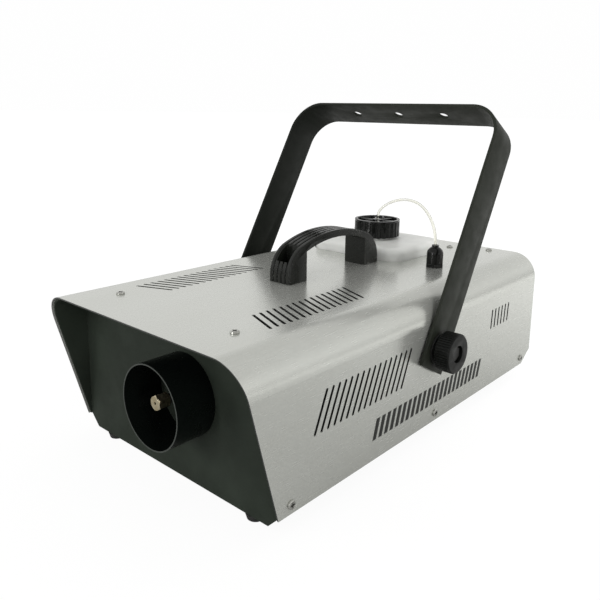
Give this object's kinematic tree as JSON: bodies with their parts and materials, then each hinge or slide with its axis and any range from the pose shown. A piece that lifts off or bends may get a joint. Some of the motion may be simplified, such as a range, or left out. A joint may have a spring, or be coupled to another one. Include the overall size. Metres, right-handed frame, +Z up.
{
  "type": "fog machine",
  "caption": "Stage fog machine in a folded steel case: hooded nozzle, louvred cover, refillable tank with a clear suction hose, carry handle and a tilting yoke clamped by round knobs.",
  "frame": {"origin": "middle of the object's outline, on the surface that the feet stand on", "axes": "+Z up; -Y the way the fog leaves; +X to the right of someone looking the way +Y points, the side that a viewer of the nozzle end sees on their right"},
  "size_m": [0.3008, 0.4582, 0.3068],
  "materials": {
    "silver_paint": "satin silver stove paint with a fine lengthwise grain",
    "black_paint": "satin black stove paint",
    "yoke_paint": "fine-textured satin black powder coat",
    "black_moulding": "moulded black plastic, lightly glossy",
    "black_rubber": "matt rubber",
    "screw_zinc": "zinc-plated steel",
    "brass": "turned and milled brass",
    "tube_steel": "heat-tinted stainless tube",
    "cast_aluminium": "sand-cast with milled ends",
    "glass_fibre": "woven glass-fibre blanket",
    "galvanised": "spangled zinc sheet",
    "tank_poly": "translucent natural polyethylene",
    "clear_hose": "clear flexible tube",
    "coil_wrap": "taped copper winding",
    "board_green": "solder-masked laminate",
    "part_blue": "moulded relay case",
    "connector_green": "moulded terminal block",
    "nickel": "nickel plate",
    "rocker_red": "glossy moulded rocker",
    "lamp_green": "clear green lens",
    "clear_filter": "sintered filter weight",
    "spring_steel": "stainless spring wire"
  },
  "bodies": {
    "case": {"top_cover": "silver_paint", "front_panel": "black_paint", "base_pan": "black_paint", "rear_panel": "black_paint", "rubber_feet": "black_rubber", "foot_screws": "screw_zinc", "case_screws": "screw_zinc", "nozzle_shroud": "black_paint", "nozzle_tip": "brass", "nozzle_pipe": "tube_steel", "heater_block": "cast_aluminium", "heating_elements": "tube_steel", "heater_wrap": "glass_fibre", "heater_jacket": "galvanised", "heater_brackets": "galvanised", "thermostat": "nickel", "thermal_fuse": "nickel", "inlet_fitting": "brass", "fluid_tank": "tank_poly", "tank_tray": "galvanised", "tank_retainer": "galvanised", "suction_tube": "clear_hose", "suction_filter": "clear_filter", "fluid_hose": "clear_hose", "gland_body": "black_moulding", "gland_nut": "black_moulding", "gland_lock_nut": "black_moulding", "feed_tube": "clear_hose", "pressure_tube": "clear_hose", "carry_handle": "black_moulding", "handle_screws": "screw_zinc", "pivot_pads": "black_rubber", "pivot_nuts": "screw_zinc", "pump_barrel": "black_moulding", "pump_coil": "coil_wrap", "pump_frame": "galvanised", "pump_mounts": "black_rubber", "pump_spring": "spring_steel", "control_board": "board_green", "board_standoffs": "brass", "transformer": "coil_wrap", "relays": "part_blue", "terminal_block": "connector_green", "power_inlet": "black_moulding", "inlet_blades": "nickel", "rocker_frame": "black_moulding", "fuse_holder": "black_moulding", "remote_socket": "nickel", "ready_lamp": "lamp_green"},
    "yoke_arm": {"yoke": "yoke_paint", "knob_washers": "screw_zinc"},
    "right_clamp": {"right_knob": "black_moulding", "right_bolt": "screw_zinc"},
    "left_clamp": {"left_knob": "black_moulding", "left_bolt": "screw_zinc"},
    "cap": {"tank_cap": "black_moulding", "cap_gasket": "black_rubber"},
    "rocker": {"rocker_button": "rocker_red"},
    "fuse_plug": {"fuse_cap": "black_moulding"},
    "plunger": {"pump_plunger": "tube_steel"}
  },
  "joints": [
    {"name": "yoke_tilt", "type": "hinge", "parent": "case", "child": "yoke_arm", "pos_m": [0, 0.00515, 0.0902], "axis": [1, 0, 0], "range_deg": [-42, 98]},
    {"name": "right_knob_turn", "type": "hinge", "parent": "case", "child": "right_clamp", "pos_m": [0.142, 0.00515, 0.0902], "axis": [1, 0, 0], "continuous": true},
    {"name": "left_knob_turn", "type": "hinge", "parent": "case", "child": "left_clamp", "pos_m": [-0.142, 0.00515, 0.0902], "axis": [-1, 0, 0], "continuous": true},
    {"name": "cap_turn", "type": "hinge", "parent": "case", "child": "cap", "pos_m": [-0.028, 0.12635, 0.165], "axis": [0, 0, 1], "range_deg": [0, 450]},
    {"name": "rocker_press", "type": "hinge", "parent": "case", "child": "rocker", "pos_m": [-0.038, 0.22035, 0.0615], "axis": [1, 0, 0], "range_deg": [-18, 0]},
    {"name": "fuse_cap_turn", "type": "hinge", "parent": "case", "child": "fuse_plug", "pos_m": [0.002, 0.22485, 0.0615], "axis": [0, 1, 0], "range_deg": [-90, 0]},
    {"name": "plunger_stroke", "type": "slide", "parent": "case", "child": "plunger", "axis": [0, 1, 0], "range_m": [-0.002, 0.0015], "stiffness_N_per_m": 900, "deforming": ["pump_spring"]}
  ]
}
